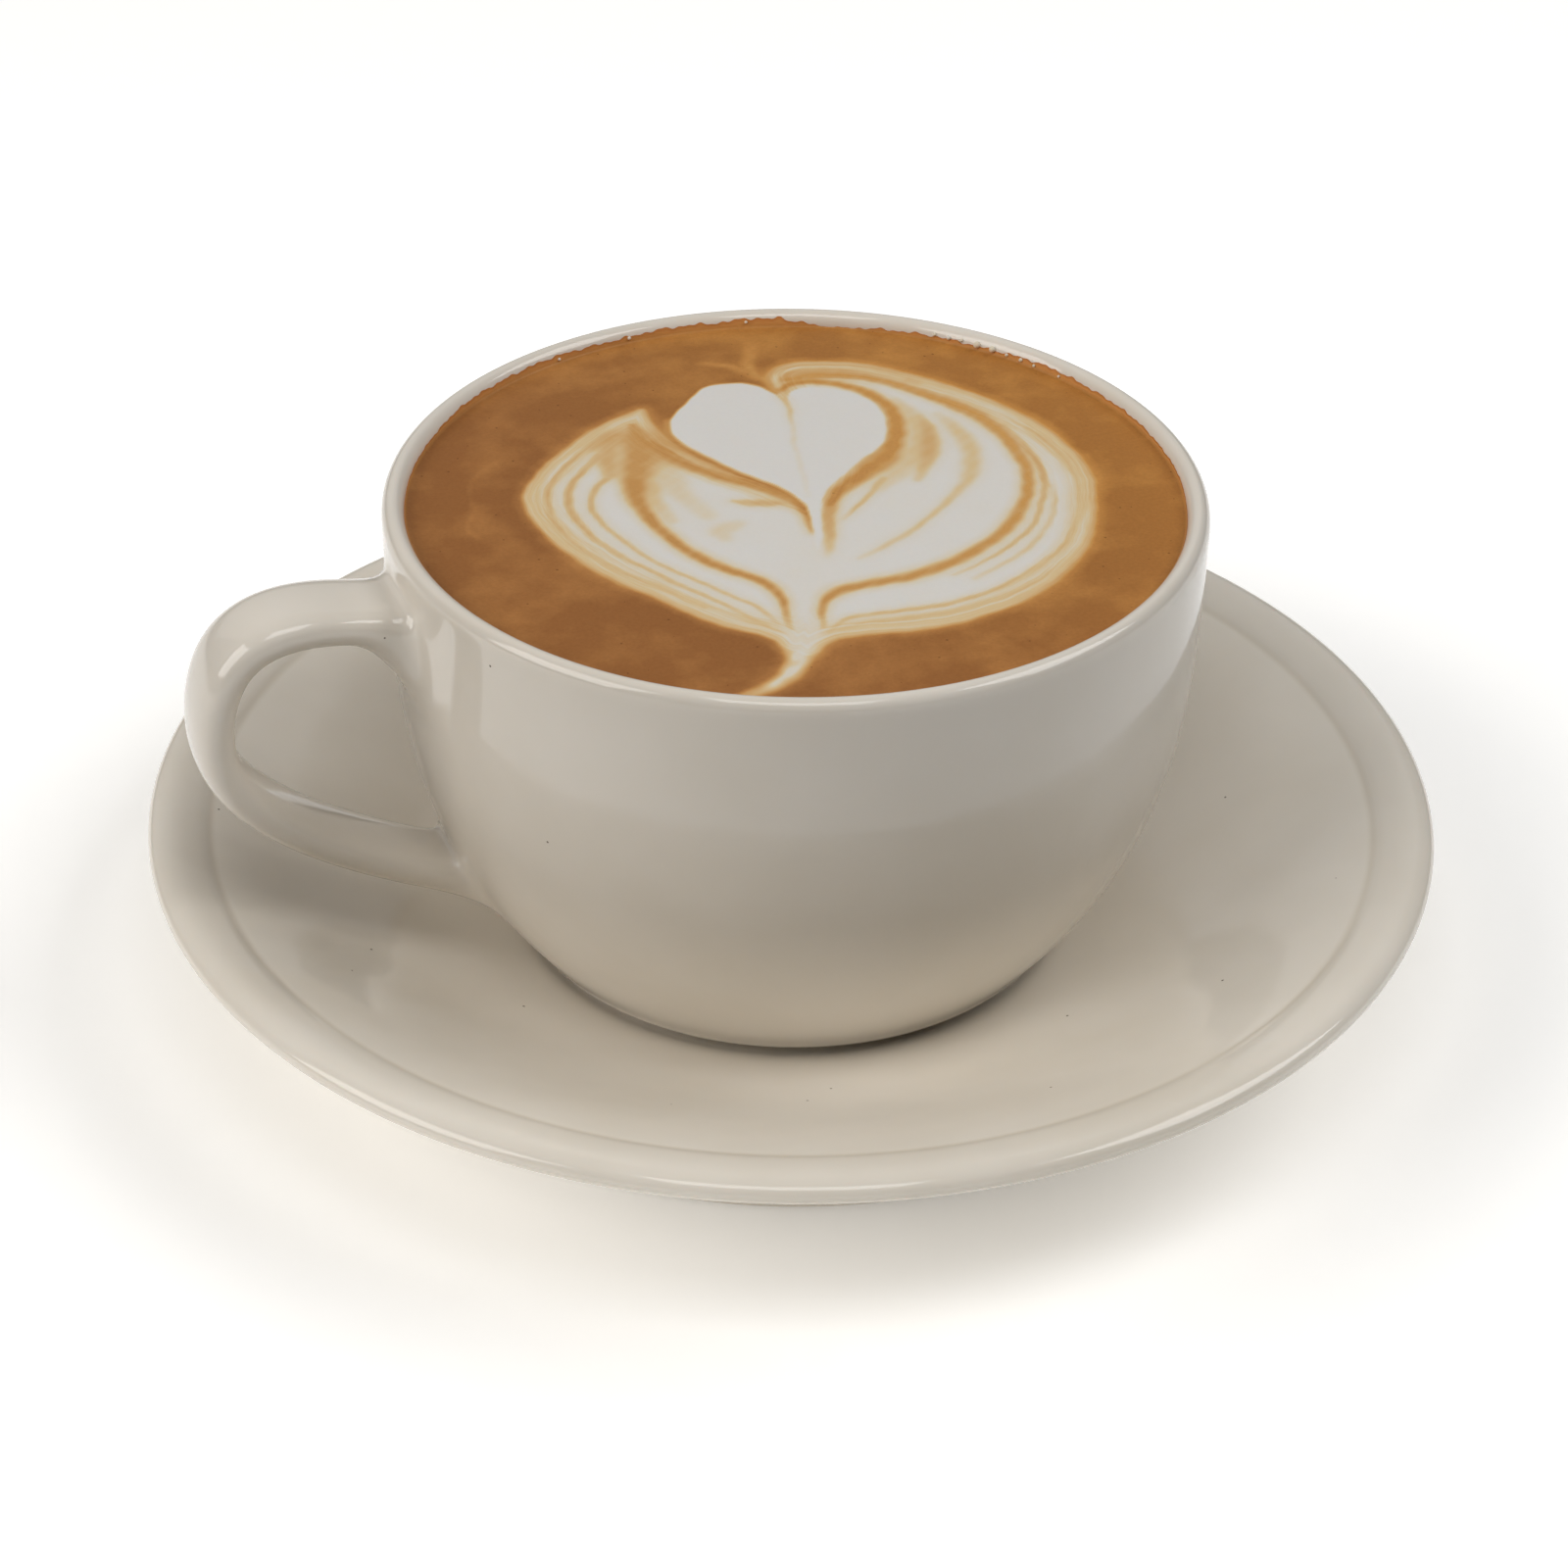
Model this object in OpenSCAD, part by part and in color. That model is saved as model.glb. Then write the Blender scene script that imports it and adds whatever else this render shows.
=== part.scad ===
// A latte in a thick ceramic cup with one handle, standing on its saucer.
// Axis of the cup along Z, handle towards -X, resting plane of the saucer's foot at z = 0.

/* [Saucer] */
// Outside diameter of the saucer
saucer_d = 160; // [140:1:180]
// Height of the saucer's rim above the table
saucer_h = 23; // [18:0.5:28]
// Outside diameter of the foot ring under the saucer
saucer_foot_d = 113; // [90:1:120]
// Height of the foot ring below the saucer's underside
saucer_foot_h = 2.6; // [1.5:0.1:4]
// Thickness of the saucer's dish
saucer_wall = 4.6; // [3.5:0.1:6]
// Diameter of the flat well that takes the cup's foot
well_d = 66; // [60:1:76]
// Height of the well's floor above the table
well_z = 5; // [4.4:0.1:6]

/* [Cup] */
// Largest outside diameter of the cup
cup_d = 98.4; // [90:0.2:110]
// Height of the cup's rim above the table
cup_top = 64.5; // [56:0.5:76]
// Diameter of the lowest visible edge of the bowl
bowl_foot_d = 69.4; // [60:0.2:74]
// Roundness of the bowl's side: a larger value gives a straighter side
bowl_power = 3.46; // [2.5:0.01:5]
// Wall thickness at the rim
cup_wall = 2.7; // [2:0.1:4]
// Thickness of the bowl's floor
cup_floor = 4.2; // [3:0.1:6]
// Outside diameter of the foot ring under the cup
cup_foot_d = 61; // [54:0.5:63]

/* [Handle] */
// Reach of the strap's middle line from the cup's axis
handle_reach = 72.7; // [68:0.1:76]
// Height at which the strap reaches out furthest
handle_mid_z = 45; // [40:0.5:50]
// Height at which the upper end meets the bowl
handle_top_z = 55.6; // [52:0.2:57]
// Height at which the lower end meets the bowl
handle_low_z = 18.2; // [16:0.2:24]
// Strap width at the upper end
handle_w_top = 11.8; // [9:0.1:14]
// Strap width at the lower end
handle_w_low = 9.8; // [8:0.1:13]
// Strap thickness
handle_t = 4.9; // [4:0.1:6.5]
// How much the strap thickens where it joins the bowl
handle_flare = 2.6; // [0:0.1:4]

/* [Drink] */
// Depth of the drink's surface below the rim
drink_below = 1.9; // [1:0.1:12]

/* [Hidden] */
$fn = 128;

saucer_r = saucer_d / 2;
foot_r = saucer_foot_d / 2;
well_r = well_d / 2;
cup_r = cup_d / 2;
bowl_foot_r = bowl_foot_d / 2;
cup_foot_r = cup_foot_d / 2;
bowl_low = well_z + 2.4;            // height of the bowl's lowest visible edge
bowl_side_power = 0.97;             // second exponent of the bowl's side
cup_floor_z = bowl_low - 0.9 + cup_floor;
lip_h = 1.7;                        // height over which the rim is rounded
inner_r = cup_r - cup_wall;
inner_floor_r = 26;                 // radius at which the inside turns up from the floor
inner_power = 4.6;                  // the inside is fuller than the outside
drink_z = cup_top - drink_below;

// Point on a cubic Bezier curve.
function bezier(a, b, c, d, t) =
    pow(1 - t, 3) * a + 3 * pow(1 - t, 2) * t * b + 3 * (1 - t) * t * t * c + pow(t, 3) * d;

// Steps along a cubic Bezier curve, both ends included.
function curve(a, b, c, d, steps) = [for (i = [0:steps]) bezier(a, b, c, d, i / steps)];

// Steps along an elliptical arc, from angle a0 to a1.
function arc(centre, rx, rz, a0, a1, steps) =
    [for (i = [0:steps]) let (a = a0 + (a1 - a0) * i / steps)
        centre + [rx * cos(a), rz * sin(a)]];

// Radius of a bowl side that is r_low at z_low and swells to r_top at z_top.
function side_r(z, z_low, z_top, r_low, r_top, power) =
    let (t = (z_top - z) / (z_top - z_low))
    r_low + (r_top - r_low) * pow(max(0, 1 - pow(t, power)), 1 / bowl_side_power);

// Outline of the saucer from the axis over the top and back underneath.
module saucer_outline() {
    rim_round = 1.7;
    rim_deep = 1.4;
    dish = curve([well_r + 1.8, well_z + 0.9], [well_r + 17, well_z + 4],
                 [saucer_r - 18.5, saucer_h - 5.2], [saucer_r - 7.5, saucer_h - 1.5], 16);
    lip = curve([saucer_r - 6.6, saucer_h - 1.15], [saucer_r - 4.6, saucer_h - 0.35],
                [saucer_r - 2.8, saucer_h + 0.25], [saucer_r - 1.2, saucer_h - 0.4], 6);
    edge = arc([saucer_r - rim_round, saucer_h - 1.9], rim_round, rim_deep, 60, -80, 8);
    under = curve([saucer_r - 2.4, saucer_h - 3.7], [saucer_r - 16, saucer_h - 8.5],
                  [foot_r + 8, saucer_foot_h + 2.6], [foot_r + 0.5, saucer_foot_h + 0.6], 12);
    foot_w = 4;
    polygon(concat(
        [[0, well_z], [well_r, well_z], [well_r + 0.8, well_z + 0.35]],
        dish, lip, edge, under,
        [[foot_r, saucer_foot_h - 0.2], [foot_r, 0.6], [foot_r - 0.6, 0],
         [foot_r - foot_w + 0.6, 0], [foot_r - foot_w, 0.6],
         [foot_r - foot_w - 0.8, well_z + 2.4 - saucer_wall],
         [foot_r - foot_w - 6, well_z + 1 - saucer_wall], [0, well_z + 1 - saucer_wall]]
    ));
}

// Outline of the bowl without its hollow, foot ring included.
module bowl_outline() {
    side_steps = 22;
    side_top = cup_top - lip_h;
    side = [for (i = [0:side_steps]) let (z = bowl_low + (side_top - bowl_low) * i / side_steps)
        [side_r(z, bowl_low, cup_top, bowl_foot_r, cup_r, bowl_power), z]];
    lip = arc([cup_r - cup_wall / 2, side_top], cup_wall / 2, lip_h, 12, 90, 6);
    foot_w = 3.2;
    recess = 1.3;
    polygon(concat(
        [[0, cup_top - lip_h], [cup_r - cup_wall / 2, cup_top - lip_h]],
        [for (i = [6:-1:0]) lip[i]],
        [for (i = [side_steps:-1:0]) side[i]],
        arc([bowl_foot_r - 0.8, bowl_low - 0.1], 0.8, 0.8, -10, -80, 4),
        [[cup_foot_r + 0.6, well_z + 1.2], [cup_foot_r, well_z + 0.5], [cup_foot_r - 0.5, well_z],
         [cup_foot_r - foot_w + 0.5, well_z], [cup_foot_r - foot_w, well_z + 0.5],
         [cup_foot_r - foot_w - 0.8, well_z + recess], [0, well_z + recess]]
    ));
}

// Outline of the bowl's hollow up to height z_end.
module hollow_outline(z_end) {
    steps = 22;
    z_low = cup_floor_z + 0.6;
    z_round = cup_top - lip_h;
    side = [for (i = [0:steps]) let (z = z_low + (min(z_end, z_round) - z_low) * i / steps)
        [side_r(z, z_low, z_round, inner_floor_r, inner_r, inner_power), z]];
    polygon(concat(
        [[0, cup_floor_z], [inner_floor_r - 3, cup_floor_z], [inner_floor_r - 1.2, cup_floor_z + 0.15]],
        side,
        [[inner_r, z_end], [0, z_end]]
    ));
}

// Inner half of the rounded rim, which the straight hollow would cut off.
module inner_lip_outline() {
    base = [cup_r - cup_wall / 2, cup_top - lip_h];
    polygon(concat([base], arc(base, cup_wall / 2, lip_h, 90, 180, 8)));
}

module saucer() {
    color([0.88, 0.87, 0.84])
        rotate_extrude() saucer_outline();
}

// Middle line of the handle as [reach, height], from the upper end round to the lower one.
function handle_line(t) =
    t < 0.5
    ? bezier([cup_r - 3.2, handle_top_z], [cup_r + 12, handle_top_z + 5.8],
             [handle_reach, handle_mid_z + 16.4], [handle_reach, handle_mid_z], 2 * t)
    : bezier([handle_reach, handle_mid_z], [handle_reach, handle_mid_z - 13.7],
             [cup_r - 7, handle_low_z + 1.4], [cup_r - 11.2, handle_low_z], 2 * t - 1);

// Swelling of the strap near either end, 1 at the wall and almost 0 a few millimetres away.
function swell(t) = exp(-pow(t / 0.07, 2)) + exp(-pow((1 - t) / 0.11, 2));

// One rounded section of the strap at t along its line.
function strap_section(t, points) =
    let (
        step = 0.004,
        here = handle_line(t),
        ahead = handle_line(min(1, t + step)),
        behind = handle_line(max(0, t - step)),
        along = (ahead - behind) / norm(ahead - behind),
        w = handle_w_top + (handle_w_low - handle_w_top) * t + handle_flare * swell(t),
        h = handle_t + handle_flare * swell(t)
    )
    [for (i = [0:points - 1]) let (
        a = 360 * i / points,
        across = w / 2 * sign(cos(a)) * pow(abs(cos(a)), 0.7),
        out = h / 2 * sign(sin(a)) * pow(abs(sin(a)), 0.7)
    ) [-(here[0] - along[1] * out), across, here[1] + along[0] * out]];

// The strap as one closed skin.
module handle() {
    stations = 40;
    points = 20;
    skin = [for (k = [0:stations]) each strap_section(k / stations, points)];
    sides = [for (k = [0:stations - 1], i = [0:points - 1])
        let (j = (i + 1) % points)
        [k * points + i, k * points + j, (k + 1) * points + j, (k + 1) * points + i]];
    near_end = [for (i = [points - 1:-1:0]) i];
    far_end = [for (i = [0:points - 1]) stations * points + i];
    polyhedron(skin, concat([near_end], sides, [far_end]), convexity = 6);
}

module cup() {
    color([0.9, 0.89, 0.86]) {
        difference() {
            union() {
                rotate_extrude() bowl_outline();
                handle();
            }
            rotate_extrude() hollow_outline(cup_top + 1);
        }
        rotate_extrude() inner_lip_outline();
    }
}

module drink() {
    color([0.62, 0.42, 0.25])
        rotate_extrude() hollow_outline(drink_z);
}

saucer();
cup();
drink();
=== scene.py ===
import math
from functools import partial

import bmesh
import bpy
import numpy as np
from mathutils import Matrix, Vector


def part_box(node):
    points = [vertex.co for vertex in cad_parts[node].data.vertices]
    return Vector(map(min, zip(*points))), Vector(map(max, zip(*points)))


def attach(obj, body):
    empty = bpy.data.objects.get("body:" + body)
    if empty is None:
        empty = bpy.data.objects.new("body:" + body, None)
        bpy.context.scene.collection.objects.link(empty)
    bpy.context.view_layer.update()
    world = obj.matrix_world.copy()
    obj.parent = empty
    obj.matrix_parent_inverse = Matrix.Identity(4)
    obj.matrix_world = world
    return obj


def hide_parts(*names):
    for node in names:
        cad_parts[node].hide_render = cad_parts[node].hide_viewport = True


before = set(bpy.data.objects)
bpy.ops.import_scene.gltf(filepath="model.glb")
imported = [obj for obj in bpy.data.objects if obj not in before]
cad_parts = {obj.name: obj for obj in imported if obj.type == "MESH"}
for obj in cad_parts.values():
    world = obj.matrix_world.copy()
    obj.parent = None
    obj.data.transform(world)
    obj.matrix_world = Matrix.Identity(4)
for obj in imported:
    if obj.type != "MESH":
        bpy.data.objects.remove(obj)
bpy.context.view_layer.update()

MM = 0.001

# ---------------------------------------------------------------- sizes, mm
SAUCER_R = 80.0
SAUCER_RIM_Z = 23.0
SAUCER_FOOT_R = 56.5
WELL_R = 33.0
WELL_Z = 5.0

CUP_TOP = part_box("cup")[1][2] / MM
CUP_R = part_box("cup")[1][0] / MM
WALL = 2.7
LIP_H = 1.7
INNER_R = CUP_R - WALL
BOWL_LOW_R = 34.7
BOWL_LOW_Z = WELL_Z + 2.4
CUP_FOOT_R = 30.5
FLOOR_Z = BOWL_LOW_Z - 0.9 + 4.2

STRAP_REACH = 72.7
STRAP_MID_Z = 45.0
STRAP_TOP_Z = 55.6
STRAP_LOW_Z = 18.2
STRAP_W_TOP = 11.8
STRAP_W_LOW = 9.8
STRAP_T = 4.9

DRINK_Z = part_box("drink")[1][2] / MM

# The pattern was poured facing 22 degrees round from the handle's square-on view.
POUR_TURN = math.radians(-22.0)

# ---------------------------------------------------------------- camera
CAMERA_RANGE = 438.8
CAMERA_AIM_Z = 29.4
CAMERA_ELEVATION = math.radians(32.56)
CAMERA_DIP = math.radians(33.37)
CAMERA_YAW = math.radians(-0.15)
CAMERA_ROLL = math.radians(0.79)
CAMERA_LENS = 80.94


def linear(hex_colour):
    """An sRGB hex colour as linear RGBA."""
    values = [int(hex_colour[i:i + 2], 16) / 255 for i in (1, 3, 5)]
    return tuple(v / 12.92 if v <= 0.04045 else ((v + 0.055) / 1.055) ** 2.4 for v in values) + (1.0,)


def plug(tree, made, inputs):
    """Sets a node's inputs, each to a value, to an output or to a node's first output."""
    for key, value in inputs.items():
        if isinstance(value, bpy.types.Node):
            value = value.outputs[0]
        if isinstance(value, bpy.types.NodeSocket):
            tree.links.new(value, made.inputs[key])
        else:
            made.inputs[key].default_value = value


def node(tree, kind, inputs=None, **settings):
    """Adds a shader node with its settings and inputs."""
    made = tree.nodes.new(kind)
    for name, value in settings.items():
        setattr(made, name, value)
    plug(tree, made, inputs or {})
    return made


def set_ramp(ramp_node, stops):
    """Sets a colour ramp's stops from (place, hex colour) pairs."""
    ramp = ramp_node.color_ramp
    while len(ramp.elements) < len(stops):
        ramp.elements.new(0.5)
    for element, (place, colour) in zip(ramp.elements, stops):
        element.position = place
        element.color = linear(colour)


# ---------------------------------------------------------------- materials

def new_material(name):
    """A bare material, the function that adds nodes to it, and its surface shader."""
    material = bpy.data.materials.new(name)
    material.use_nodes = True
    material.node_tree.nodes.clear()
    add = partial(node, material.node_tree)
    shader = add("ShaderNodeBsdfPrincipled")
    add("ShaderNodeOutputMaterial", {"Surface": shader.outputs["BSDF"]})
    return material, add, shader


def glazed_stoneware(name, body_hex, pool_hex, bare_below, pool_and_shade_ring):
    """White stoneware, slip cast and dipped in a clear tin glaze: glossy, softly uneven, warm
    where the glaze pools, with a warm darker ring of radius pool_and_shade_ring (mm), partly
    pooled glaze and partly painted shade, in the saucer's groove and under the cup's bowl, with
    rare iron specks, and bare dull clay on the ring it stands on, below the height bare_below (mm)."""
    material, add, shader = new_material(name)
    place = add("ShaderNodeTexCoord").outputs["Object"]
    pooling = add("ShaderNodeTexNoise", {"Vector": place, "Scale": 38.0, "Detail": 3.0})
    tone = add("ShaderNodeMapRange", {"Value": pooling.outputs["Fac"], "From Min": 0.35, "From Max": 0.7})
    glaze = add("ShaderNodeMix", {"Factor": tone, "A": linear(body_hex), "B": linear(pool_hex)},
        data_type="RGBA")
    flat = add("ShaderNodeVectorMath", {0: place, 1: (1.0, 1.0, 0.0)}, operation="MULTIPLY")
    reach = add("ShaderNodeVectorMath", {0: flat}, operation="LENGTH")
    # A warm darker ring at pool_and_shade_ring: partly pooled glaze, partly painted shade in the saucer's
    # groove and under the cup's bowl just above its foot
    off_ring = add("ShaderNodeMath", {0: reach.outputs["Value"], 1: pool_and_shade_ring * MM}, operation="SUBTRACT")
    gap = add("ShaderNodeMath", {0: off_ring}, operation="ABSOLUTE")
    pool_and_shade_depth = add("ShaderNodeMapRange", {"Value": gap, "From Min": 0.1 * MM, "From Max": 0.7 * MM,
        "To Min": 0.22, "To Max": 0.0})
    pooled_and_shaded = add("ShaderNodeMix", {"Factor": pool_and_shade_depth, "A": glaze.outputs["Result"],
        "B": linear("#C2B398")}, data_type="RGBA")

    # Iron specks: 0.3 mm across, where a few of the 4 mm cells reach the surface
    cells = add("ShaderNodeTexVoronoi", {"Vector": place, "Scale": 1 / (4 * MM)})
    spot = add("ShaderNodeMath", {0: cells.outputs["Distance"], 1: 0.04}, operation="LESS_THAN")
    pick = add("ShaderNodeSeparateColor", {"Color": cells.outputs["Color"]})
    rare = add("ShaderNodeMath", {0: pick.outputs["Red"], 1: 0.8}, operation="GREATER_THAN")
    speck = add("ShaderNodeMath", {0: spot, 1: rare}, operation="MULTIPLY")
    specked = add("ShaderNodeMix", {"Factor": speck, "A": pooled_and_shaded.outputs["Result"],
        "B": linear("#6E6253")}, data_type="RGBA")

    # Bare clay below the height where the foot ring is wiped clean, its grit 0.5 mm
    height = add("ShaderNodeSeparateXYZ", {"Vector": place}).outputs["Z"]
    bare = add("ShaderNodeMapRange", {"Value": height, "From Min": bare_below * MM,
        "From Max": (bare_below - 0.25) * MM})
    grit = add("ShaderNodeTexNoise", {"Vector": place, "Scale": 1 / (0.5 * MM), "Detail": 2.0})
    colour = add("ShaderNodeMix", {"Factor": bare, "A": specked.outputs["Result"],
        "B": linear("#CFC6B6")}, data_type="RGBA")
    rough = add("ShaderNodeMapRange", {"Value": bare, "To Min": 0.08, "To Max": 0.75})

    # The glaze ripples over 9 mm
    ripple = add("ShaderNodeTexNoise", {"Vector": place, "Scale": 1 / (9 * MM), "Detail": 1.0})
    waves = add("ShaderNodeBump", {"Height": ripple.outputs["Fac"], "Strength": 0.35,
        "Distance": 0.12 * MM})
    tooth = add("ShaderNodeBump", {"Height": grit.outputs["Fac"], "Strength": bare,
        "Distance": 0.05 * MM, "Normal": waves.outputs["Normal"]})
    plug(material.node_tree, shader, {
        "Base Color": colour.outputs["Result"], "Roughness": rough,
        "Normal": tooth.outputs["Normal"], "IOR": 1.5, "Subsurface Weight": 0.12,
        "Subsurface Radius": (1.0, 0.8, 0.6), "Subsurface Scale": 1.5 * MM})
    return material


def latte_foam(name):
    """Steamed milk microfoam poured through coffee crema: satin and slightly soft inside, from
    white milk through cream and caramel to the brown crema, with pinholes and fine bubbles."""
    material, add, shader = new_material(name)
    place = add("ShaderNodeTexCoord").outputs["Object"]
    milk, drift, stain_and_film_light, far = (add("ShaderNodeAttribute", attribute_name=band).outputs["Fac"]
        for band in ("milk", "drift", "stain_and_film_light", "far"))

    # Streaks that follow the edge of each wing, strongest in its first few millimetres
    across = add("ShaderNodeCombineXYZ", {"X": drift})
    along = add("ShaderNodeVectorMath", {0: place, 1: (45.0, 45.0, 45.0)}, operation="MULTIPLY")
    flow = add("ShaderNodeVectorMath", {0: across, 1: along}, operation="ADD")
    streak = add("ShaderNodeTexNoise", {"Vector": flow, "Scale": 2.3, "Detail": 3.0, "Roughness": 0.6})
    streak_push = add("ShaderNodeMath", {0: streak.outputs["Fac"], 1: -0.5}, operation="ADD")
    shallow = add("ShaderNodeMapRange", {"Value": drift, "From Min": 7.0, "From Max": 2.5,
        "To Min": 0.0, "To Max": 0.5})
    fringe = add("ShaderNodeMapRange", {"Value": milk, "From Min": 0.995, "From Max": 0.85})
    gain = add("ShaderNodeMath", {0: shallow, 1: fringe}, operation="MULTIPLY")
    streaks = add("ShaderNodeMath", {0: streak_push, 1: gain}, operation="MULTIPLY")

    # Clouds all over, and rings in the crema from the way the cup was swirled
    cloud = add("ShaderNodeTexNoise", {"Vector": place, "Scale": 1 / (7 * MM), "Detail": 3.0})
    cloud_push = add("ShaderNodeMath", {0: cloud.outputs["Fac"], 1: -0.5}, operation="ADD")
    clouds = add("ShaderNodeMath", {0: cloud_push, 1: 0.035}, operation="MULTIPLY")
    flat = add("ShaderNodeVectorMath", {0: place, 1: (1.0, 1.0, 0.0)}, operation="MULTIPLY")
    reach = add("ShaderNodeVectorMath", {0: flat}, operation="LENGTH")
    reach_far = add("ShaderNodeMath", {0: reach.outputs["Value"], 1: 1 / (2.2 * MM)}, operation="MULTIPLY")
    turn_in = add("ShaderNodeCombineXYZ", {"X": reach_far})
    swirl = add("ShaderNodeVectorMath", {0: turn_in, 1: along}, operation="ADD")
    ring = add("ShaderNodeTexNoise", {"Vector": swirl, "Scale": 1.0, "Detail": 2.0})
    ring_push = add("ShaderNodeMath", {0: ring.outputs["Fac"], 1: -0.5}, operation="ADD")
    crema_only = add("ShaderNodeMapRange", {"Value": milk, "From Min": 0.3, "From Max": 0.05,
        "To Min": 0.0, "To Max": 0.05})
    rings = add("ShaderNodeMath", {0: ring_push, 1: crema_only}, operation="MULTIPLY")
    amount = milk
    for push in (streaks, rings, clouds):
        amount = add("ShaderNodeMath", {0: amount, 1: push}, operation="ADD")
    ramp = add("ShaderNodeValToRGB", {"Fac": amount})
    set_ramp(ramp, [(0.0, "#9A6536"), (0.2, "#BA8148"), (0.36, "#CD995A"), (0.54, "#D8AE76"),
        (0.78, "#E0C79A"), (0.90, "#E1D5BE"), (1.0, "#E2DFDA")])

    # The crema is more golden away from the pourer
    golden = add("ShaderNodeMix", {"Factor": 1.0, "A": ramp.outputs["Color"], "B": (1.34, 1.40, 1.10, 1.0)},
        data_type="RGBA", blend_type="MULTIPLY")
    brown_only = add("ShaderNodeMapRange", {"Value": amount, "From Min": 0.5, "From Max": 0.1})
    far_brown = add("ShaderNodeMath", {0: far, 1: brown_only}, operation="MULTIPLY")
    yellow = add("ShaderNodeMix", {"Factor": far_brown, "A": ramp.outputs["Color"],
        "B": golden.outputs["Result"]}, data_type="RGBA")

    # Pinholes: burst bubbles up to 0.3 mm across in two of five cells of 3 mm, and finer grain
    cells = add("ShaderNodeTexVoronoi", {"Vector": place, "Scale": 1 / (3 * MM)}, voronoi_dimensions="2D")
    pick = add("ShaderNodeSeparateColor", {"Color": cells.outputs["Color"]})
    size = add("ShaderNodeMapRange", {"Value": pick.outputs["Green"], "From Min": 0.6, "From Max": 1.0,
        "To Min": 0.0, "To Max": 0.055})
    hole = add("ShaderNodeMath", {0: cells.outputs["Distance"], 1: size}, operation="LESS_THAN")
    hole_brown = add("ShaderNodeMath", {0: hole, 1: brown_only}, operation="MULTIPLY")
    hole_dim = add("ShaderNodeMath", {0: hole_brown, 1: 0.55}, operation="MULTIPLY")
    grain = add("ShaderNodeTexNoise", {"Vector": place, "Scale": 1 / (0.45 * MM), "Detail": 2.0})
    dark_grain = add("ShaderNodeMapRange", {"Value": brown_only, "To Min": 0.99, "To Max": 0.94})
    pale_grain = add("ShaderNodeMapRange", {"Value": brown_only, "To Min": 1.005, "To Max": 1.05})
    grain_tone = add("ShaderNodeMapRange", {"Value": grain.outputs["Fac"], "From Min": 0.3, "From Max": 0.7,
        "To Min": dark_grain, "To Max": pale_grain})
    grained = add("ShaderNodeVectorMath", {0: yellow.outputs["Result"], 1: grain_tone},
        operation="MULTIPLY")
    holed = add("ShaderNodeMix", {"Factor": hole_dim, "A": grained,
        "B": linear("#5E3817")}, data_type="RGBA")

    # The thin film of crema on the wall is lighter: partly the white glaze shining through, partly
    #     painted light making up for the less lit wall; it has dried red-brown along its ragged top
    film = add("ShaderNodeMapRange", {"Value": stain_and_film_light, "From Min": 0.36, "From Max": 0.6, "To Max": 0.7})
    film_glaze_and_painted_light = add("ShaderNodeMix", {"Factor": film, "A": holed.outputs["Result"],
        "B": linear("#DDA05E")}, data_type="RGBA")
    tide = add("ShaderNodeMapRange", {"Value": stain_and_film_light, "From Min": 0.66, "From Max": 0.86, "To Max": 0.75})
    dried = add("ShaderNodeMix", {"Factor": tide, "A": film_glaze_and_painted_light.outputs["Result"],
        "B": linear("#B8703A")}, data_type="RGBA")
    wet = add("ShaderNodeMapRange", {"Value": stain_and_film_light, "From Min": 0.2, "From Max": 0.8,
        "To Min": 0.52, "To Max": 0.24})

    # Froth of 0.35 mm bubbles, drawn as coarse as it needs to show, and a slow swell
    froth = add("ShaderNodeTexVoronoi", {"Vector": place, "Scale": 1 / (0.35 * MM)})
    froth_bump = add("ShaderNodeBump", {"Height": froth.outputs["Distance"], "Strength": 0.06,
        "Distance": 0.05 * MM})
    dip = add("ShaderNodeBump", {"Height": hole, "Strength": 0.5, "Distance": 0.08 * MM,
        "Normal": froth_bump.outputs["Normal"]}, invert=True)
    swell = add("ShaderNodeBump", {"Height": cloud.outputs["Fac"], "Strength": 0.25, "Distance": 0.25 * MM,
        "Normal": dip.outputs["Normal"]})
    plug(material.node_tree, shader, {
        "Base Color": dried.outputs["Result"], "Roughness": wet,
        "Normal": swell.outputs["Normal"], "IOR": 1.36, "Specular IOR Level": 0.25,
        "Subsurface Weight": 0.15, "Subsurface Radius": (1.0, 0.65, 0.4), "Subsurface Scale": 0.8 * MM})
    return material


def pale_paper(name):
    """Seamless white studio paper: matt, almost without grain, and made white by its own glow,
    a painted light, which is turned down close to the saucer as a painted shadow round it."""
    material, add, shader = new_material(name)
    place = add("ShaderNodeTexCoord").outputs["Object"]
    fibre = add("ShaderNodeTexNoise", {"Vector": place, "Scale": 1 / (4 * MM), "Detail": 2.0})
    tone = add("ShaderNodeMix", {"Factor": fibre.outputs["Fac"], "A": linear("#F7F7F6"),
        "B": linear("#FAFAFA")}, data_type="RGBA")
    reach = add("ShaderNodeVectorMath", {0: place}, operation="LENGTH")
    # Painted light: the paper glows, and the glow is dimmed close to the saucer as a painted shadow round
    # it
    painted_glow_dimmed_near = add("ShaderNodeMapRange", {"Value": reach.outputs["Value"], "From Min": SAUCER_R * MM,
        "From Max": 1.65 * SAUCER_R * MM, "To Min": 0.22, "To Max": 0.42},
        interpolation_type="SMOOTHSTEP")
    plug(material.node_tree, shader, {
        "Base Color": tone.outputs["Result"], "Roughness": 0.9, "Specular IOR Level": 0.1,
        "Emission Color": linear("#FFFDF9"), "Emission Strength": painted_glow_dimmed_near})
    return material


# ---------------------------------------------------------------- modelling helpers

def deselect_all():
    """Leaves nothing selected, so that the next operator takes only what is chosen for it."""
    bpy.ops.object.select_all(action="DESELECT")


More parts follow.
